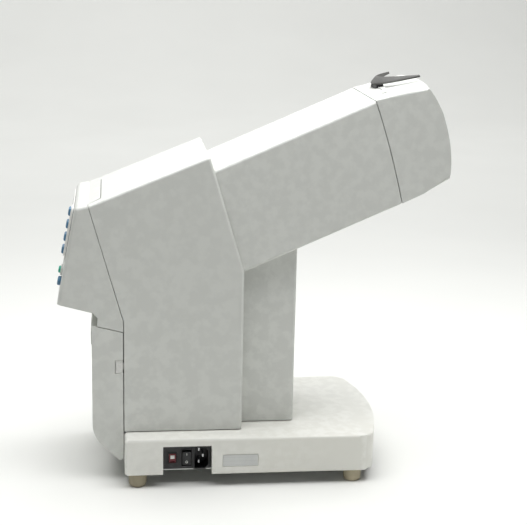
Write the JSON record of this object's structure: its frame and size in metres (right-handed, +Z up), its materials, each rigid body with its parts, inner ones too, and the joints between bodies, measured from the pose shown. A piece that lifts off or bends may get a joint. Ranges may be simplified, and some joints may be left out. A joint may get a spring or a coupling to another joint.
{
  "type": "autorefractor",
  "caption": "Table-top eye-testing instrument with an inclined viewing tube, sliding forehead rest, leaning operator panel with display and keys, printer door and a bowed base.",
  "frame": {"origin": "middle of the footprint of the whole instrument, on the table top", "axes": "+Z up, +X towards the patient's end of the viewing tube, +Y towards the side with no power inlet"},
  "size_m": [0.4262, 0.198, 0.44],
  "materials": {
    "shell": "satin moulded plastic",
    "fascia": "satin moulded plastic",
    "dark_plastic": "satin",
    "rubber": "matte",
    "foot_rubber": "matte",
    "blue_key": "satin",
    "green_key": "satin",
    "red_plastic": "satin",
    "steel": "brushed",
    "brass": "machined",
    "aluminium": "satin",
    "black_aluminium": "black anodised",
    "glass": "polished",
    "board": "solder resist",
    "paper": "matte",
    "label": "satin film"
  },
  "bodies": {
    "instrument": {"base_cover": "shell", "base_plate": "steel", "foot_1": "foot_rubber", "foot_2": "foot_rubber", "foot_3": "foot_rubber", "foot_4": "foot_rubber", "inlet_module": "dark_plastic", "inlet_contacts": "steel", "power_supply": "board", "rating_label": "label", "main_housing": "shell", "rear_column": "shell", "support_post": "aluminium", "viewing_tube": "shell", "head_cap": "shell", "port_bezel": "dark_plastic", "port_window": "glass", "rest_rail": "shell", "control_head": "shell", "panel_fascia": "fascia", "display_window": "glass", "display_module": "dark_plastic", "key_board": "board", "hinge_rod": "steel", "printer_frame": "steel", "paper_spindle": "dark_plastic", "print_head": "black_aluminium", "optical_bench": "aluminium", "objective_barrel": "black_aluminium", "objective_lens": "glass", "splitter_mount": "black_aluminium", "beam_splitter": "glass", "measuring_camera": "black_aluminium", "camera_bracket": "aluminium", "light_source": "black_aluminium", "stage_plate_rear": "aluminium", "stage_plate_front": "aluminium", "guide_rod_left": "steel", "guide_rod_right": "steel", "focus_motor": "black_aluminium", "main_board": "board"},
    "switch": {"power_switch": "dark_plastic"},
    "fuse_holder": {"fuse_drawer": "red_plastic"},
    "door": {"printer_door": "shell"},
    "catch_left": {"door_catch_left": "fascia"},
    "catch_right": {"door_catch_right": "fascia"},
    "platen": {"platen_roller": "rubber"},
    "paper": {"paper_roll": "paper"},
    "screw": {"lead_screw": "brass"},
    "carriage": {"target_carriage": "aluminium", "target_slide": "glass"},
    "rest": {"forehead_rest": "rubber", "rest_shoe": "dark_plastic"},
    "key_1": {"menu_key_1": "blue_key"},
    "key_2": {"menu_key_2": "blue_key"},
    "key_3": {"menu_key_3": "blue_key"},
    "key_4": {"menu_key_4": "blue_key"},
    "key_start": {"start_key": "green_key"},
    "key_print": {"print_key": "blue_key"}
  },
  "joints": [
    {"name": "menu_key_1_press", "type": "slide", "parent": "instrument", "child": "key_1", "axis": [0.9825, 0, -0.1865], "range_m": [0, 0.0012], "stiffness_N_per_m": 500, "springref_m": -0.0008},
    {"name": "menu_key_2_press", "type": "slide", "parent": "instrument", "child": "key_2", "axis": [0.9825, 0, -0.1865], "range_m": [0, 0.0012], "stiffness_N_per_m": 500, "springref_m": -0.0008},
    {"name": "menu_key_3_press", "type": "slide", "parent": "instrument", "child": "key_3", "axis": [0.9825, 0, -0.1865], "range_m": [0, 0.0012], "stiffness_N_per_m": 500, "springref_m": -0.0008},
    {"name": "menu_key_4_press", "type": "slide", "parent": "instrument", "child": "key_4", "axis": [0.9825, 0, -0.1865], "range_m": [0, 0.0012], "stiffness_N_per_m": 500, "springref_m": -0.0008},
    {"name": "start_key_press", "type": "slide", "parent": "instrument", "child": "key_start", "axis": [0.9825, 0, -0.1865], "range_m": [0, 0.0012], "stiffness_N_per_m": 500, "springref_m": -0.0008},
    {"name": "print_key_press", "type": "slide", "parent": "instrument", "child": "key_print", "axis": [0.9825, 0, -0.1865], "range_m": [0, 0.0012], "stiffness_N_per_m": 500, "springref_m": -0.0008},
    {"name": "power_rocker", "type": "hinge", "parent": "instrument", "child": "switch", "pos_m": [-0.07515, -0.0885, 0.0313], "axis": [1, 0, 0], "range_deg": [-16, 0]},
    {"name": "fuse_drawer_slide", "type": "slide", "parent": "instrument", "child": "fuse_holder", "axis": [0, -1, 0], "range_m": [0, 0.018]},
    {"name": "printer_door_hinge", "type": "hinge", "parent": "instrument", "child": "door", "pos_m": [-0.14675, 0, 0.0272], "axis": [0, -1, 0], "range_deg": [0, 80]},
    {"name": "catch_left_press", "type": "slide", "parent": "instrument", "child": "catch_left", "axis": [0, -1, 0], "range_m": [0, 0.0025], "stiffness_N_per_m": 400, "springref_m": -0.0015},
    {"name": "catch_right_press", "type": "slide", "parent": "instrument", "child": "catch_right", "axis": [0, 1, 0], "range_m": [0, 0.0025], "stiffness_N_per_m": 400, "springref_m": -0.0015},
    {"name": "platen_turn", "type": "hinge", "parent": "instrument", "child": "platen", "pos_m": [-0.12915, 0, 0.1555], "axis": [0, 1, 0], "continuous": true},
    {"name": "paper_turn", "type": "hinge", "parent": "instrument", "child": "paper", "pos_m": [-0.10515, 0, 0.1185], "axis": [0, 1, 0], "continuous": true},
    {"name": "screw_turn", "type": "hinge", "parent": "instrument", "child": "screw", "pos_m": [-0.02833, 0, 0.26521], "axis": [0.9161, 0, 0.401], "range_deg": [-1085, 1085]},
    {"name": "carriage_travel", "type": "slide", "parent": "instrument", "child": "carriage", "axis": [0.9161, 0, 0.401], "range_m": [-0.012, 0.012]},
    {"name": "forehead_rest_swing", "type": "hinge", "parent": "instrument", "child": "rest", "pos_m": [0.05333, 0, 0.3983], "axis": [-0.2634, 0, 0.9647], "range_deg": [-23.6, 0]}
  ],
  "couplings": [
    {"joint": "screw_turn", "follows": "carriage_travel", "rad_per_m": 1570.8}
  ]
}
